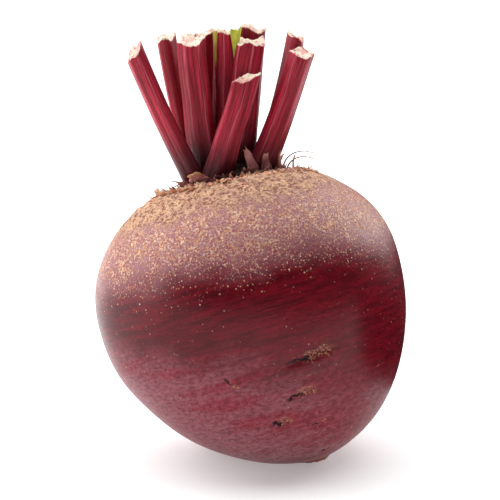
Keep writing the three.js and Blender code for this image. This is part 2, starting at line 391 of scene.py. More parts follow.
def fibre_group():
    """Plant fibre: broad Streak and fine Line masks from a vector that is short along the fibre."""
    tree, nodes, given, result = new_group(
        "fibre",
        {"Vector": "NodeSocketVector", "Scale": "NodeSocketFloat"},
        {"Streak": "NodeSocketFloat", "Line": "NodeSocketFloat"},
    )
    broad = nodes.noise(given["Vector"], given["Scale"], 3.0, 0.6)
    fine = nodes.noise(given["Vector"], nodes.times(given["Scale"], 3.1), 2.0, 0.6)
    nodes.feed(result["Streak"], nodes.step(broad, 0.3, 0.72))
    nodes.feed(result["Line"], nodes.step(fine, 0.34, 0.68))
    return tree


# Colours, linear.
BURGUNDY = (0.180, 0.004, 0.012, 1)
BURGUNDY_DEEP = (0.076, 0.002, 0.006, 1)
# The mauve below is a painted reflection of the pale floor on the root's lower half.
FLOOR_REFLECTION_MAUVE = (0.250, 0.070, 0.092, 1)
MAUVE_RED = (0.235, 0.019, 0.036, 1)
SCUFF = (0.440, 0.230, 0.230, 1)
# The bloom colours are dust on the shoulder together with a painted sheen of the light from above.
BLOOM_AND_SHEEN = (0.420, 0.185, 0.210, 1)
PINK_BLOOM_AND_SHEEN = (0.400, 0.125, 0.165, 1)
CORK = (0.70, 0.34, 0.165, 1)
CORK_PALE = (0.93, 0.64, 0.44, 1)
CORK_BROWN = (0.20, 0.058, 0.046, 1)
SHEATH = (0.580, 0.230, 0.200, 1)
# The moat's dark is painted shade, in the moat and in the scars' slits.
PAINTED_SHADE_DARK = (0.016, 0.004, 0.006, 1)
CRIMSON = (0.700, 0.028, 0.072, 1)
CRIMSON_DEEP = (0.200, 0.004, 0.012, 1)
# The foot colour is painted shade on the stalks' feet, deep among the stalks.
FOOT_SHADE = (0.060, 0.003, 0.008, 1)
# The ridge pink is a painted highlight on the stalks' rib crests.
RIDGE_HIGHLIGHT_PINK = (0.740, 0.190, 0.250, 1)
CUT_CREAM = (0.92, 0.76, 0.62, 1)
CUT_PINK = (0.74, 0.34, 0.30, 1)
LEAF_GREEN = (0.62, 0.64, 0.050, 1)
LEAF_SHADE = (0.30, 0.30, 0.024, 1)
DRY_RED = (0.200, 0.036, 0.042, 1)
DRY_PURPLE = (0.050, 0.014, 0.020, 1)

# Shine of the skin and the stalks, and the full height of a bump in metres.
SKIN_SHINE = 0.2
STALK_SHINE = 0.25
BUMP_HEIGHT = 0.4 * MM

# Heights above the root's waist where each finish starts and where it is full, in millimetres.
# The mauve levels place the painted reflection of the floor on the lower half.
FLOOR_REFLECTION_LEVELS = (-3.0, -19.0)
SCUFF_LEVELS = (-32.0, -42.0)
# The bloom levels place the shoulder's dust with its painted sheen.
BLOOM_AND_SHEEN_LEVELS = (3.0, 15.0)
SPECK_LEVELS = (-1.0, 16.0)
GRAIN_LEVELS = (-1.0, 6.0)
CORK_LEVELS = (16.0, 29.0)


def new_material(name):
    material = bpy.data.materials.new(name)
    material.use_nodes = True
    tree = material.node_tree
    tree.nodes.clear()
    nodes = Nodes(tree)
    output = nodes.add("ShaderNodeOutputMaterial")
    shader = nodes.add("ShaderNodeBsdfPrincipled")
    tree.links.new(shader.outputs[0], output.inputs["Surface"])
    return material, nodes, shader


def finish_surface(nodes, shader, colour, rough, relief, strength):
    """Joins colour, roughness and relief to a surface's shader."""
    height = {"Height": relief, "Strength": strength, "Distance": BUMP_HEIGHT}
    bump = nodes.add("ShaderNodeBump", height)
    nodes.feed(shader.inputs["Base Color"], colour)
    nodes.feed(shader.inputs["Roughness"], rough)
    nodes.feed(shader.inputs["Normal"], bump.outputs[0])


def growth_coordinates(nodes):
    """Object coordinates turned into the root's growth frame, in millimetres."""
    mapping = nodes.add("ShaderNodeMapping", {"Vector": nodes.object_place()}, vector_type="TEXTURE")
    mapping.inputs["Location"].default_value = PLACE * MM
    mapping.inputs["Rotation"].default_value = LEAN.to_euler()
    mapping.inputs["Scale"].default_value = (MM, MM, MM)
    return mapping.outputs[0]


def scar_masks(nodes, growth):
    """Masks of a side root scar: the slit at its left, darkened as painted shade in its groove, and thin
    flakes of cork at its right.
    """
    spot = nodes.split(nodes.attribute("scar", "Vector"))
    wander = nodes.math("SUBTRACT", nodes.noise(growth, 0.45, 2.0), 0.5)
    off = nodes.math("ABSOLUTE", nodes.plus(spot["Y"], nodes.times(wander, 2.6)))
    within = nodes.step(nodes.math("ABSOLUTE", spot["X"]), 1.05, 0.7)
    open_end = nodes.step(spot["X"], 0.2, -0.2)
    torn = nodes.noise(growth, 1.3, 3.0, 0.6)
    pits = nodes.step(torn, 0.5, 0.6)
    thick = nodes.times(nodes.plus(0.12, nodes.times(open_end, 0.14)), nodes.plus(0.4, torn))
    slit = nodes.step(off, nodes.times(thick, 1.6), nodes.times(thick, 0.6))
    slit = nodes.times(slit, within, nodes.plus(open_end, nodes.times(pits, 0.6)))
    round_slit = nodes.times(nodes.step(off, 1.0, 0.35), within, nodes.step(spot["X"], -0.45, 0.0))
    flakes = nodes.times(round_slit, nodes.step(nodes.noise(growth, 1.7, 2.0, 0.6), 0.47, 0.56))
    return nodes.math("MINIMUM", slit, 1.0), flakes


def root_skin_material(speckle, fibre):
    """Glossy burgundy skin with a mauve lower half that is a painted reflection of the floor, dusty with
    a painted sheen and speckled with cork on the shoulder, corky at the crown's rim.
    """
    material, nodes, shader = new_material("beetroot_skin")
    shader.inputs["Specular IOR Level"].default_value = SKIN_SHINE
    growth = growth_coordinates(nodes)
    place = nodes.split(growth)
    sag = nodes.times(place["X"], nodes.plus(0.07, nodes.times(place["X"], 0.0012)))
    height = nodes.plus(place["Z"], sag)
    cloud = nodes.noise(growth, 0.09, 3.0, 0.5)
    patch = nodes.noise(growth, 0.3, 4.0, 0.6)
    grain = nodes.noise(growth, 2.4, 3.0, 0.6)
    level = nodes.plus(height, nodes.times(nodes.math("SUBTRACT", cloud, 0.5), 8.0))

    # Burgundy, brighter red towards the right, with short streaks along the parallels, and a mauve lower
    # half that is a painted reflection of the pale floor, fading towards the right.
    strands = nodes.group(fibre, {"Vector": nodes.stretched(growth, (0.1, 0.1, 0.8)), "Scale": 1.0})
    redder = nodes.plus(strands["Streak"], nodes.times(place["X"], 0.007))
    skin = nodes.mix(redder, BURGUNDY_DEEP, BURGUNDY)
    broad = nodes.noise(nodes.stretched(growth, (0.04, 0.04, 0.2)), 1.0, 4.0, 0.65)
    paler = nodes.plus(broad, nodes.times(place["X"], -0.003))
    floor_reflection = nodes.mix(nodes.step(paler, 0.42, 0.58), MAUVE_RED, FLOOR_REFLECTION_MAUVE)
    floor_reflection = nodes.mix(nodes.times(strands["Line"], 0.5), floor_reflection, MAUVE_RED)
    drift = nodes.noise(growth, 0.05, 3.0, 0.6)
    slanted = nodes.plus(level, nodes.times(place["X"], 0.32), nodes.times(drift, 16.0))
    lower = nodes.step(slanted, *FLOOR_REFLECTION_LEVELS)
    skin = nodes.mix(nodes.times(lower, nodes.plus(0.45, nodes.times(grain, 0.9))), skin, floor_reflection)
    scuffed = nodes.times(nodes.step(level, *SCUFF_LEVELS), nodes.step(broad, 0.5, 0.6))
    skin = nodes.mix(nodes.times(scuffed, grain, 0.45), skin, SCUFF)
    mottle = nodes.noise(nodes.stretched(growth, (0.7, 0.7, 1.3)), 1.0, 3.0, 0.7)
    skin = nodes.mix(nodes.times(nodes.step(mottle, 0.52, 0.36), 0.6), skin, BURGUNDY_DEEP)
    skin = nodes.mix(nodes.times(nodes.step(mottle, 0.5, 0.66), lower, 0.13), skin, SCUFF)

    # Shoulder: a dusty bloom that also carries a painted sheen of the light from above, under grains of
    # cork, which thicken towards the crown.
    shoulder = nodes.step(level, *BLOOM_AND_SHEEN_LEVELS)
    dust_and_sheen = nodes.mix(nodes.step(patch, 0.42, 0.6), BLOOM_AND_SHEEN, PINK_BLOOM_AND_SHEEN)
    skin = nodes.mix(nodes.times(shoulder, nodes.plus(0.45, nodes.times(grain, 0.8))), skin, dust_and_sheen)
    dense = nodes.times(nodes.step(level, *SPECK_LEVELS), nodes.plus(0.2, nodes.times(patch, 1.6)))
    limit = nodes.math("SUBTRACT", 0.66, nodes.times(dense, 0.2))
    sand = nodes.noise(growth, 1.9, 3.0, 0.8)
    pores = nodes.times(nodes.step(sand, 0.46, 0.36), shoulder, 0.6)
    skin = nodes.mix(pores, skin, MAUVE_RED)
    grains = nodes.step(sand, limit, nodes.plus(limit, 0.12))
    grains = nodes.times(grains, nodes.step(level, *GRAIN_LEVELS))
    few = nodes.times(dense, 0.6)
    dots = nodes.group(speckle, {"Vector": growth, "Scale": 1.7, "Cover": few, "Size": 0.42})
    specks = nodes.math("MAXIMUM", grains, dots["Mask"])
    tan = nodes.mix(nodes.step(nodes.noise(growth, 1.1, 2.0), 0.42, 0.6), CORK, CORK_PALE)
    colour = nodes.mix(nodes.times(specks, 0.85), skin, tan)

    # Rim of the crown: golden cork with brown cracks.
    uneven = nodes.plus(0.35, nodes.times(patch, 1.4), nodes.times(place["X"], -0.009))
    ragged = nodes.times(nodes.math("SUBTRACT", sand, 0.5), 1.6)
    rise = nodes.times(nodes.step(level, *CORK_LEVELS), nodes.plus(uneven, ragged))
    cork = nodes.step(rise, 0.25, 0.85)
    bark = nodes.mix(nodes.step(grain, 0.35, 0.65), CORK, CORK_PALE)
    crack = nodes.step(nodes.noise(growth, 0.9, 4.0, 0.8), 0.49, 0.58)
    bark = nodes.mix(nodes.times(crack, 0.9), bark, CORK_BROWN)
    colour = nodes.mix(nodes.times(cork, nodes.plus(0.8, nodes.times(specks, 0.2))), colour, bark)

    # Scars, the trimmed tap root, and painted shade in the moat and in the scars' slits.
    slit, flaky = scar_masks(nodes, growth)
    dark = nodes.math("MAXIMUM", nodes.attribute("dark"), slit)
    lip = nodes.math("MAXIMUM", nodes.attribute("lip"), flaky)
    lip_colour = nodes.mix(nodes.step(grain, 0.35, 0.65), CORK_BROWN, CORK)
    colour = nodes.mix(nodes.times(lip, nodes.plus(0.3, nodes.times(grain, 0.7))), colour, lip_colour)
    colour = nodes.mix(dark, colour, PAINTED_SHADE_DARK)

    # Cork and shade are dull, and cork stands up with its cracks sunk in.
    dull = nodes.math("MAXIMUM", nodes.times(specks, 0.16), nodes.times(cork, 0.4))
    dull = nodes.plus(dull, nodes.times(shoulder, 0.06), nodes.times(lip, 0.3), nodes.times(dark, 0.4))
    rough = nodes.plus(0.27, dull, nodes.times(strands["Line"], 0.06), nodes.times(lower, 0.1))
    relief = nodes.plus(
        nodes.times(specks, 0.8),
        nodes.times(cork, nodes.math("SUBTRACT", grain, nodes.times(crack, 1.6))),
        nodes.times(grain, 0.12),
        nodes.times(strands["Line"], 0.03),
    )
    finish_surface(nodes, shader, colour, rough, relief, 0.7)
    return material


def stalk_material(speckle, fibre):
    """Crimson stalk with painted highlights on its ribs, painted shade in its grooves and at its foot,
    and a cream cut end with red strands.
    """
    material, nodes, shader = new_material("stalk_crimson")
    shader.inputs["Specular IOR Level"].default_value = STALK_SHINE
    place = nodes.object_place()
    along = nodes.attribute("along")
    ridge = nodes.attribute("ridge")
    cut = nodes.attribute("cut")
    strands = nodes.group(fibre, {"Vector": nodes.attribute("grain", "Vector"), "Scale": 7.0})
    patch = nodes.noise(place, 160.0, 3.0)

    # The body: streaks along the stalk, pale crests that are a painted highlight, painted shade in the
    # grooves and on the hollow inner side, darker patches, and painted shade on the foot.
    body = nodes.mix(strands["Streak"], CRIMSON_DEEP, CRIMSON)
    body = nodes.mix(nodes.times(strands["Line"], 0.35), body, CRIMSON_DEEP)
    crest_highlight = nodes.times(nodes.step(ridge, 0.93, 1.0), nodes.step(along, 0.1, 0.45))
    body = nodes.mix(nodes.times(crest_highlight, strands["Streak"], 0.75), body, RIDGE_HIGHLIGHT_PINK)
    # Painted shade: darker in the grooves between ribs and on the hollow inner side.
    body = nodes.mix(nodes.times(nodes.step(ridge, 0.4, 0.0), 0.5), body, CRIMSON_DEEP)
    body = nodes.mix(nodes.times(nodes.step(patch, 0.56, 0.75), 0.35), body, CRIMSON_DEEP)
    # Painted shade on the stalk's foot, darkest low down.
    body = nodes.mix(nodes.times(nodes.step(along, 0.5, 0.16), 0.92), body, FOOT_SHADE)

    # The cut end: cream flesh with red strands.
    dots = nodes.group(speckle, {"Vector": place, "Scale": 900.0, "Cover": 0.5, "Size": 0.5})
    flesh = nodes.mix(nodes.step(patch, 0.45, 0.75), CUT_CREAM, CUT_PINK)
    flesh = nodes.mix(nodes.times(dots["Mask"], 0.75), flesh, CRIMSON)
    colour = nodes.mix(nodes.step(cut, 0.3, 0.7), body, flesh)

    rough = nodes.plus(0.28, nodes.times(strands["Line"], 0.12), nodes.times(cut, 0.35))
    tissue = nodes.times(nodes.noise(place, 1100.0, 3.0), cut)
    relief = nodes.plus(nodes.times(strands["Line"], 0.5), nodes.times(strands["Streak"], 0.3), tissue)
    finish_surface(nodes, shader, colour, rough, relief, 0.45)
    return material


def young_leaf_material(fibre):
    """Yellow-green crumpled leaf, reddish where it is older."""
    material, nodes, shader = new_material("young_leaf_green")
    along_veins = nodes.stretched(nodes.object_place(), (1, 1, 0.4))
    veins = nodes.group(fibre, {"Vector": along_veins, "Scale": 500.0})
    colour = nodes.mix(veins["Streak"], LEAF_SHADE, LEAF_GREEN)
    colour = nodes.mix(nodes.attribute("red"), colour, CRIMSON_DEEP)
    rough = nodes.plus(0.4, nodes.times(veins["Streak"], 0.2))
    finish_surface(nodes, shader, colour, rough, veins["Line"], 0.5)
    return material


def dry_scale_material(speckle, fibre):
    """Papery dry leaf bases, from dark purple over red-brown to sandy."""
    material, nodes, shader = new_material("dry_leaf_base")
    place = nodes.object_place()
    dryness = nodes.attribute("dryness")
    strands = nodes.group(fibre, {"Vector": place, "Scale": 600.0})
    specks = nodes.group(speckle, {"Vector": place, "Scale": 1500.0, "Cover": 0.4, "Size": 0.5})
    colour = nodes.mix(nodes.step(dryness, 0.05, 0.3), DRY_PURPLE, DRY_RED)
    colour = nodes.mix(nodes.step(dryness, 0.25, 0.5), colour, SHEATH)
    colour = nodes.mix(nodes.step(dryness, 0.5, 0.75), colour, CORK)
    colour = nodes.mix(nodes.step(dryness, 0.8, 1.0), colour, CORK_PALE)
    colour = nodes.mix(nodes.times(strands["Streak"], 0.3), colour, CORK_BROWN)
    colour = nodes.mix(nodes.times(specks["Mask"], 0.4), colour, DRY_PURPLE)
    rough = nodes.plus(0.6, nodes.times(strands["Line"], 0.25))
    finish_surface(nodes, shader, colour, rough, strands["Streak"], 0.6)
    return material


def scar_place(down, around):
    """Where a place on the skin lies in its nearest scar: along and across it, as shares of its half
    length and its width, and the scar's depth. Far from any scar the shares are large."""
    nearest = Vector((FAR, FAR, 0))
    radius = ROOT_RADIUS * sin(down)
    for row in SCAR_ROWS:
        for scar_down, turn, length, width, depth, climb in SCARS:
            below = (down - radians(scar_down)) * ROOT_RADIUS * SCAR_STRETCH
            right = ((around - radians(row + turn) + pi) % (2 * pi) - pi) * radius
            along = (right * cos(radians(climb)) - below * sin(radians(climb))) / (0.5 * length)
            across = (right * sin(radians(climb)) + below * cos(radians(climb))) / width
            if abs(along) < SCAR_END and abs(across) < SCAR_SIDE:
                return Vector((along, across, depth))
            if hypot(along, across) < hypot(nearest.x, nearest.y):
                nearest = Vector((copysign(FAR, along), copysign(FAR, across), 0))
    return nearest


def rim_detail(point, ring):
    """Lift of the rim's folds and shade of the moat, at a point of the crown and its ring."""
    turn = atan2(point.y, point.x - CROWN_SHIFT)
    fold = noise.noise(Vector((FOLDS_OUTWARD * ring, FOLDS_ROUND * cos(turn), FOLDS_ROUND * sin(turn))))
    lift = RIM_FOLD * fold * smooth_step(RIM_RING, RIM_RING - RIM_FADE, ring)
    gap = GAP_REACH * exp(-(((turn - GAP_TURN) / GAP_SPREAD) ** 2))
    shade = MOAT_SHADE * smooth_step(*MOAT_SHADE_EDGE, ring + FOLD_SHIFT * fold - gap)
    return lift, shade


def tap_root_detail(point):
    """Lift of the bumps and share of cork, at a point of the tap root's trimmed end."""
    end = smooth_step(*TAP_ROOT_EDGE, hypot(point.x - ROOT_END_BEND, point.y))
    lift = TAP_ROOT_BUMP * end * noise.noise(point / TAP_ROOT_BUMP_SIZE)
    return lift, TAP_ROOT_CORK * end


def root_skin(material):
    """The whole root as one fine skin: globe, crown, scars and the flat spot under it."""
    shape = bmesh.new()
    bmesh.ops.create_uvsphere(shape, u_segments=SKIN_SIDES, v_segments=SKIN_ROWS, radius=1)
    marks = {"dark": [], "lip": [], "scar": []}
    for vert in shape.verts:
        down = down_angle(vert)
        around = atan2(vert.co.y, vert.co.x)
        point = skin_point(down, around)
        out = vert.co.normalized()
        scar = scar_place(down, around)
        ring = hypot(point.x - CROWN_SHIFT, point.y)
        creased = smooth_step(*CREASE_LEVELS, point.z)
        lift = LUMP_HEIGHT * noise.noise(point / LUMP_SIZE)
        lift -= scar.z * exp(-((SCAR_SHARPNESS * scar.y) ** 2) - scar.x**4)
        lift += CREASE_HEIGHT * creased * noise.noise(point / CREASE_SIZE)
        detail = dark = lip = 0.0
        if point.z > 0 and ring < RIM_RING:
            detail, dark = rim_detail(point, ring)
        elif down > TAP_ROOT_FROM:
            detail, lip = tap_root_detail(point)
        moved = LEAN @ (point + out * (lift + detail)) + PLACE
        moved.z = max(moved.z, 0.0)
        vert.co = moved * MM
        marks["dark"].append(dark)
        marks["lip"].append(lip)
        marks["scar"].append(scar)
    bmesh.ops.recalc_face_normals(shape, faces=shape.faces)
    piece = finished_piece("root_skin", shape, material, marks)
    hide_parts("root_body")


def growth_line(base_place, tip_place, facing):
    """Base and tip of a stalk or leaf on the crown, and the level direction that its front faces."""
    base = Vector((*base_place, -STALK_SUNK)) + CROWN_MIDDLE
    tip = Vector(tip_place) + CROWN_MIDDLE
    return base, tip, Vector((cos(radians(facing)), sin(radians(facing)), 0))


def bow_line(base, middle, tip, along):
    """Point and direction on a stalk's bowed centre line."""
    left = 1 - along
    point = left * left * base + 2 * left * along * middle + along * along * tip
    direction = 2 * left * (middle - base) + 2 * along * (tip - middle)
    return point, direction.normalized()


def stalk_rib(around, along, seed):
    """How much a stalk swells at an angle round it, and how high on a rib that is, from 0 to 1."""
    outer = smooth_step(*RIBBED_SIDE, cos(around))
    lobe = abs(cos(0.5 * STALK_RIBS * around))
    x = RIB_UNEVEN_ROUND * sin(around)
    y = RIB_UNEVEN_ROUND * cos(around)
    uneven = noise.noise(Vector((x, y, RIB_UNEVEN_ALONG * along + seed)))
    return 1 + RIB_HEIGHT * (lobe - RIB_MEAN) * outer + RIB_UNEVEN * uneven, lobe * outer


def cut_edge(around, ring, side, out, facing, seed):
    """Height of the ragged cut at a place on a stalk's end, in millimetres."""
    waves = CUT_RAGGED * sin(CUT_WAVES * around + facing) * ring
    hollow = CUT_HOLLOW * (1 - ring * ring)
    bump = CUT_BUMP * noise.noise(Vector((side, out, seed)) * CUT_BUMPS_PER_MM)
    shred = CUT_SHRED * max(noise.noise(Vector((side, out, -seed)) * CUT_SHREDS_PER_MM), 0.0)
    return waves - hollow + bump + shred


def stalk(node, material):
    """A ribbed stalk with a hollow inner side, flared at its base and cut ragged at its tip."""
    base_place, tip_place, width, depth, facing, slant = STALKS[node]
    base, tip, outward = growth_line(base_place, tip_place, facing)
    middle = (base + tip) / 2 + STALK_BOW * (tip - base).length * outward
    seed = facing * SEED_PER_DEGREE
    shape = bmesh.new()
    bmesh.ops.create_uvsphere(shape, u_segments=STALK_SIDES, v_segments=STALK_ROWS, radius=1)
    marks = {"along": [], "ridge": [], "cut": [], "grain": []}
    for vert in shape.verts:
        polar = down_angle(vert) / pi
        around = atan2(vert.co.x, vert.co.y)
        ring, along = 1.0, 1 - (polar - CUT_SHARE) / (1 - CUT_SHARE - FOOT_SHARE)
        if polar < CUT_SHARE:
            ring, along = polar / CUT_SHARE, 1.0
        elif polar > 1 - FOOT_SHARE:
            ring, along = (1 - polar) / FOOT_SHARE, 0.0
        swell, ridge = stalk_rib(around, along, seed)
        flare = 1 + BASE_FLARE * (1 - along) ** 3
        side = ring * 0.5 * width * flare * swell * sin(around)
        channel = CHANNEL_DEPTH * cos(around) ** 2 if cos(around) < 0 else 0.0
        out = ring * 0.5 * depth * swell * (1 - channel) * cos(around)
        point, forward = bow_line(base, middle, tip, along)
        sway = STALK_SWAY * noise.noise(Vector((STALK_SWAYS * along, seed, 0)))
        front = (outward - outward.dot(forward) * forward).normalized()
        offset = (side + sway) * forward.cross(front) + out * front
        slope = slant[0] * offset.x + slant[1] * offset.y
        edge = cut_edge(around, ring, side, out, facing, seed)
        lengthen = slope * smooth_step(CUT_SLANT_FROM, 1.0, along)
        lengthen += edge * smooth_step(CUT_EDGE_FROM, 1.0, along)
        cut = 1.0 if polar < CUT_SHARE + CUT_SEAM else smooth_step(CUT_FLESH_FROM, 1.0, along)
        vert.co = (point + offset + lengthen * forward) * MM
        marks["along"].append(along)
        marks["ridge"].append(ridge)
        marks["cut"].append(cut)
        marks["grain"].append(Vector((sin(around), cos(around), GRAIN_ALONG * along + seed)))
    bmesh.ops.recalc_face_normals(shape, faces=shape.faces)
    piece = finished_piece(node.replace("stem", "stalk"), shape, material, marks)
    piece.data.set_sharp_from_angle(angle=CUT_CORNER)
    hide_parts(node)


def heart_leaf(node, material):
    """A thin crumpled strip of young leaf between the stalks, broad at its top."""
    base_place, tip_place, width, facing, red = HEART_LEAVES[node]
    base, tip, front = growth_line(base_place, tip_place, facing)
    sideways = Vector((front.y, -front.x, 0))
    shape = bmesh.new()
    bmesh.ops.create_grid(shape, x_segments=LEAF_COLUMNS, y_segments=LEAF_ROWS, size=0.5)
    reds = []
    for vert in shape.verts:
        along = vert.co.y + 0.5
        top = smooth_step(LEAF_TOP_FROM, 1.0, along)
        side = vert.co.x * width * (LEAF_STEM_SHARE + (1 - LEAF_STEM_SHARE) * top)
        crumple = noise.noise(Vector((LEAF_CRUMPLES_PER_MM * side, LEAF_WAVES * along, facing)))
        wave = LEAF_WAVE * sin(LEAF_WAVES * along + LEAF_WAVE_SKEW * vert.co.x) + LEAF_CRUMPLE * crumple
        ragged = LEAF_RAGGED * noise.noise(Vector((LEAF_RAGS_PER_MM * side, facing, 0))) * top
        point = base.lerp(tip, along) + side * sideways + wave * along * front
        vert.co = (point + Vector((0, 0, ragged))) * MM
        reds.append(min(red + smooth_step(*LEAF_RED_SPAN, along), 1.0))
    bmesh.ops.recalc_face_normals(shape, faces=shape.faces)
    piece = finished_piece(node.replace("heart", "young"), shape, material, {"red": reds})
    give_thickness(piece, LEAF_THICKNESS)
    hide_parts(node)


# Rings of dry scraps on the crown: count, ring and its spread, from and to in degrees, length, width,
# tilt from the growth axis, curl and dryness, the last five as ranges.
SCRAP_RINGS = (
    (40, 12.4, 1.2, 0, 360, (1.2, 2.4), (1.2, 2.6), (0.4, 1.1), (-0.3, 0.5), (0.0, 0.2)),
    (48, 15.2, 1.2, 0, 360, (0.9, 1.9), (0.9, 2.2), (0.6, 1.4), (-0.4, 0.4), (0.25, 0.75)),
    (120, 17.6, 2.4, 0, 360, (0.9, 2.2), (0.7, 1.7), (0.7, 1.5), (-0.3, 0.3), (0.5, 0.95)),
    (34, 17.0, 2.4, 165, 285, (1.2, 2.8), (0.9, 2.0), (0.4, 1.2), (0.0, 0.7), (0.4, 0.95)),
    (22, 15.8, 1.8, 205, 264, (1.4, 2.8), (1.2, 2.6), (0.6, 1.3), (-0.3, 0.4), (-0.2, 0.2)),
    (30, 18.8, 2.2, 180, 250, (1.4, 3.0), (1.2, 2.6), (0.8, 1.4), (-0.6, 0.3), (0.5, 0.9)),
)
SCRAP_SEED = 5

# Leaf bases that broke off higher: ring, degrees, length, width, tilt, curl, dryness, blunt tip.
DRY_STUBS = (
    (11.0, -58, 6.4, 3.6, -0.05, -0.25, 0.28, 0.25),
    (11.6, -40, 4.6, 4.2, 0.1, 0.2, 0.16, 0.45),
    (13.0, -20, 6.4, 2.8, 0.05, 0.2, 0.34, 0.35),
    (15.6, -8, 4.2, 1.8, 0.05, 0.3, 0.5, 0.5),
    (12.6, 18, 5.0, 3.6, 0.2, 0.4, 0.25, 0.4),
    (13.2, 128, 5.0, 4.2, 0.25, 0.3, 0.28, 0.4),
    (12.4, 230, 3.6, 6.4, 0.35, 0.3, 0.4, 0.7),
    (13.4, 206, 4.0, 3.0, 0.4, 0.5, 0.36, 0.3),
)

# Scraps and stubs alike are paper-thin flakes, with their feet sunk in the crown and drier tips.
FLAKE_COLUMNS = 4
FLAKE_ROWS = 7
FLAKE_THICKNESS = 0.15
FLAKE_TAPER = 1.7
FLAKE_RAGGED = 0.4
FLAKE_RAGS = 5
FLAKE_TEAR = 0.3
FLAKE_TEARS = 2.5
FLAKE_CUP = 0.22
FLAKE_CUP_LOSS = 0.6
FOOT_SUNK = 0.4
TIP_DRYNESS = 0.4

# How fast the rags and tears change from flake to flake, and the layer of noise for tears.
RAG_CHANGE = 9
TEAR_CHANGE = 7
TEAR_LAYER = 3

# Loose dry fibres: ring, degrees, length, tilt and curl.
FIBRES = (
    (13.4, -14, 10.5, 0.05, 1.4),
    (14.0, -5, 8.5, 0.2, 1.3),
    (13.6, 150, 7.0, 0.4, 1.2),
    (13.6, 212, 6.0, 0.1, -0.7),
    (14.2, 222, 4.5, 0.3, 0.8),
)
FIBRE_SIDES = 8
FIBRE_ROWS = 20
FIBRE_WIDTH = 0.5
FIBRE_TAPER = 0.35
FIBRE_BLUNTNESS = 4
FIBRE_DRYNESS = 0.25

# Crumbs of cork on the rim: count, ring and its spread, and their radius and dryness as ranges.
CRUMBS = (520, 17.6, 3.2, (0.25, 0.75), (0.4, 1.0))
CRUMB_FLATNESS = (0.5, 0.9)
CRUMB_ROUGHNESS = 0.35
CRUMB_GRAIN = 0.5
CRUMB_SEED = 11


def crown_place(ring, turn):
    """A point on the crown at a distance and direction from its middle, in the row frame."""
    x = CROWN_SHIFT + ring * cos(turn)
    y = ring * sin(turn)
    reach = min(hypot(x - CROWN_BEND, y) / ROOT_RADIUS, 1.0)
    down = asin(reach ** (SHOULDER_FULLNESS / 2))
    return LEAN @ skin_point(down, atan2(y, x - CROWN_BEND)) + PLACE


def crown_frame(ring, turn):
    """Foot of a flake or fibre sunk in the crown, and the outward, upward and sideways ways there."""
    outward = LEAN @ Vector((cos(turn), sin(turn), 0))
    upward = LEAN @ Vector((0, 0, 1))
    foot = crown_place(ring, turn) - FOOT_SUNK * upward
    return foot, outward, upward, outward.cross(upward)


def dry_flake(shape, marks, ring, turn, length, width, tilt, curl, dryness, point=0.0):
    """One papery flake, curled along its length; point is the share of its width left at the tip."""
    made = bmesh.ops.create_grid(shape, x_segments=FLAKE_COLUMNS, y_segments=FLAKE_ROWS, size=0.5)
    foot, outward, upward, sideways = crown_frame(ring, turn)
    tear = FLAKE_TEAR * min(width, 1.0) ** 2
    for vert in made["verts"]:
        along = vert.co.y + 0.5
        side = 2 * vert.co.x
        ragged = 1 + FLAKE_RAGGED * noise.noise(Vector((FLAKE_RAGS * along, RAG_CHANGE * turn, side)))
        half = 0.5 * width * ragged * (1 - (1 - point) * along**FLAKE_TAPER)
        bend = tilt + curl * along
        direction = cos(bend) * upward + sin(bend) * outward
        torn = noise.noise(Vector((FLAKE_TEARS * side, TEAR_CHANGE * turn, TEAR_LAYER)))
        rise = along * length * (1 + tear * torn * along)
        cup = FLAKE_CUP * width * (1 - side * side) * (1 - FLAKE_CUP_LOSS * along)
        vert.co = (foot + rise * direction + half * side * sideways + cup * outward) * MM
        marks.append(min(max(dryness + TIP_DRYNESS * along * along, 0.0), 1.0))


def loose_fibre(shape, marks, ring, turn, length, tilt, curl):
    """One round dry fibre that bends as it rises and thins to its tip."""
    made = bmesh.ops.create_uvsphere(shape, u_segments=FIBRE_SIDES, v_segments=FIBRE_ROWS, radius=1)
    foot, outward, upward, sideways = crown_frame(ring, turn)
    for vert in made["verts"]:
        along = 1 - down_angle(vert) / pi
        around = atan2(vert.co.y, vert.co.x)
        bend = tilt + curl * along
        direction = cos(bend) * upward + sin(bend) * outward
        across = cos(bend) * outward - sin(bend) * upward
        closing = min(FIBRE_BLUNTNESS * hypot(vert.co.x, vert.co.y), 1.0)
        thick = 0.5 * FIBRE_WIDTH * (1 - FIBRE_TAPER * along) * closing
        section = cos(around) * sideways + sin(around) * across
        vert.co = (foot + along * length * direction + thick * section) * MM
        marks.append(FIBRE_DRYNESS + TIP_DRYNESS * along * along)


def dry_crown(material):
    """Dry leaf bases round the stalks: scraps in the moat, flakes on the rim and stubs."""
    draw = random.Random(SCRAP_SEED)
    shape = bmesh.new()
    marks = []
    for count, ring, spread, first, last, lengths, widths, tilts, curls, dryness in SCRAP_RINGS:
        for i in range(count):
            turn = radians(first + (last - first) * (i + draw.random()) / count)
            place = ring + spread * draw.uniform(-1, 1)
            size = draw.uniform(*lengths), draw.uniform(*widths)
            set_back = draw.uniform(*tilts), draw.uniform(*curls)
            dry_flake(shape, marks, place, turn, *size, *set_back, draw.uniform(*dryness))
    for ring, turn, *form in DRY_STUBS:
        dry_flake(shape, marks, ring, radians(turn), *form)
    piece = finished_piece("dry_leaf_bases", shape, material, {"dryness": marks})
    give_thickness(piece, FLAKE_THICKNESS)


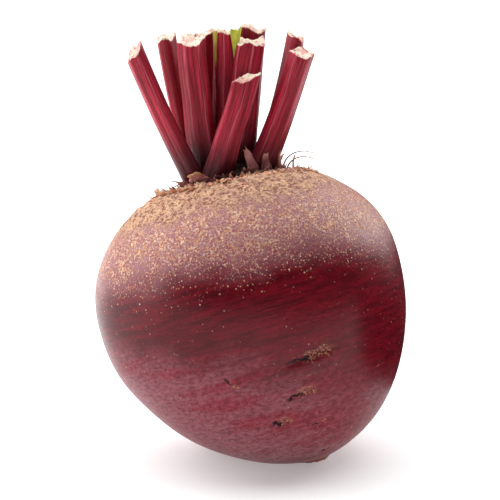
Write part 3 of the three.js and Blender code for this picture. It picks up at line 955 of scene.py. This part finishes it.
def crown_crumbs(material):
    """Loose crumbs of cork that make the rim rough, and a few dry fibres."""
    count, ring, spread, radii, dryness = CRUMBS
    draw = random.Random(CRUMB_SEED)
    noise.seed_set(CRUMB_SEED)
    shape = bmesh.new()
    marks = []
    for _ in range(count):
        foot = crown_place(draw.gauss(ring, 0.5 * spread), draw.uniform(0, 2 * pi))
        radius = draw.uniform(*radii)
        flatten = Matrix.Diagonal((1, 1, draw.uniform(*CRUMB_FLATNESS), 1))
        spot = Matrix.Translation(foot * MM) @ flatten
        made = bmesh.ops.create_icosphere(shape, subdivisions=2, radius=radius * MM, matrix=spot)
        shade = draw.uniform(*dryness)
        for vert in made["verts"]:
            vert.co += CRUMB_ROUGHNESS * radius * MM * noise.noise_vector(vert.co / (CRUMB_GRAIN * MM))
            marks.append(shade)
    for place, turn, *form in FIBRES:
        loose_fibre(shape, marks, place, radians(turn), *form)
    piece = finished_piece("crown_crumbs", shape, material, {"dryness": marks})


# Studio floor, its width in metres, and the sky.
FLOOR_WIDTH = 4.4
FLOOR_PALE = (0.82, 0.82, 0.82, 1)
FLOOR_ROUGHNESS = 0.9
FLOOR_GLOW = 0.3
WHITE = (1, 1, 1, 1)
SKY = (0.95, 0.97, 1.0, 1)
SKY_GLOW = 0.05

# Soft lights: place, target and width in metres, and power in watts.
SOFT_LIGHTS = {
    "overhead": ((0.0, 0.55, 1.25), (0.0, 0.0, 0.0), 2.4, 52.0),
    "left_card": ((-1.0, 0.35, 0.7), (0.0, 0.0, 0.05), 0.7, 10.0),
    "right_card": ((0.95, 0.85, 0.42), (0.0, 0.0, 0.05), 0.55, 9.0),
    "low_card": ((-0.95, -0.2, 0.3), (0.0, 0.0, 0.04), 0.6, 2.6),
}

# A dark card on edge at the right, as in a studio: its middle, turn in degrees, length and height.
DARK_CARD_PLACE = (0.052, 0.034)
DARK_CARD_TURN = -65
DARK_CARD_SIZE = (0.15, 0.07)
DARK_CARD_COLOUR = (0.02, 0.01, 0.01, 1)


def stage_sheet(name, material, spot):
    """A flat sheet of the studio: a square of one metre, set in its spot."""
    shape = bmesh.new()
    bmesh.ops.create_grid(shape, x_segments=1, y_segments=1, size=0.5, matrix=spot)
    sheet = new_object(name, shape, material)
    return sheet


def pale_floor():
    """The pale floor, which glows a little so that it stays even."""
    material, _, shader = new_material("pale_floor")
    shader.inputs["Base Color"].default_value = FLOOR_PALE
    shader.inputs["Roughness"].default_value = FLOOR_ROUGHNESS
    shader.inputs["Emission Color"].default_value = WHITE
    shader.inputs["Emission Strength"].default_value = FLOOR_GLOW
    stage_sheet("floor", material, Matrix.Diagonal((FLOOR_WIDTH, FLOOR_WIDTH, 1, 1)))


def dark_card():
    """The dark card. It only keeps the floor's light off the root's right side, and is not seen."""
    material, _, shader = new_material("dark_card")
    shader.inputs["Base Color"].default_value = DARK_CARD_COLOUR
    shader.inputs["Roughness"].default_value = 1.0
    length, height = DARK_CARD_SIZE
    middle = Matrix.Translation((*DARK_CARD_PLACE, 0.5 * height))
    upright = Matrix.Rotation(radians(DARK_CARD_TURN), 4, "Z") @ Matrix.Rotation(radians(90), 4, "X")
    card = stage_sheet("dark_card", material, middle @ upright @ Matrix.Diagonal((length, height, 1, 1)))
    card.visible_camera = False
    card.visible_shadow = False


def soft_box(name, place, target, size, power):
    light = bpy.data.lights.new(name, "AREA")
    light.shape = "SQUARE"
    light.size = size
    light.energy = power
    lamp = bpy.data.objects.new(name, light)
    lamp.location = place
    lamp.rotation_euler = (Vector(target) - Vector(place)).to_track_quat("-Z", "Y").to_euler()
    bpy.context.scene.collection.objects.link(lamp)


def studio():
    """A pale floor, one large soft light overhead, smaller ones at the sides and a dim sky."""
    pale_floor()
    for name, light in SOFT_LIGHTS.items():
        soft_box(name, *light)
    dark_card()
    world = bpy.data.worlds.new("studio")
    world.use_nodes = True
    background = world.node_tree.nodes["Background"]
    background.inputs["Color"].default_value = SKY
    background.inputs["Strength"].default_value = SKY_GLOW
    bpy.context.scene.world = world
    bpy.context.scene.view_settings.view_transform = "Standard"


# Camera, at the photograph's viewing angle: sizes in metres, and the sensor in millimetres.
CAMERA_RISE = radians(13.1)
CAMERA_DISTANCE = 0.466
CAMERA_NEAREST = 0.01
FRAME_HEIGHT = 0.131
AIM_HEIGHT = 0.0541
SENSOR_WIDTH = 36


def camera():
    data = bpy.data.cameras.new("camera")
    data.sensor_width = SENSOR_WIDTH
    data.lens = SENSOR_WIDTH * CAMERA_DISTANCE / FRAME_HEIGHT
    data.clip_start = CAMERA_NEAREST
    eye = bpy.data.objects.new("camera", data)
    aim = Vector((0, 0, AIM_HEIGHT))
    eye.location = aim + CAMERA_DISTANCE * Vector((0, -cos(CAMERA_RISE), sin(CAMERA_RISE)))
    eye.rotation_euler = (aim - eye.location).to_track_quat("-Z", "Y").to_euler()
    bpy.context.scene.collection.objects.link(eye)
    bpy.context.scene.camera = eye


camera()
studio()
speckle = speckle_group()
fibre = fibre_group()
root_skin(root_skin_material(speckle, fibre))
dry = dry_scale_material(speckle, fibre)
dry_crown(dry)
crown_crumbs(dry)
crimson = stalk_material(speckle, fibre)
for name in STALKS:
    stalk(name, crimson)
green = young_leaf_material(fibre)
for name in HEART_LEAVES:
    heart_leaf(name, green)
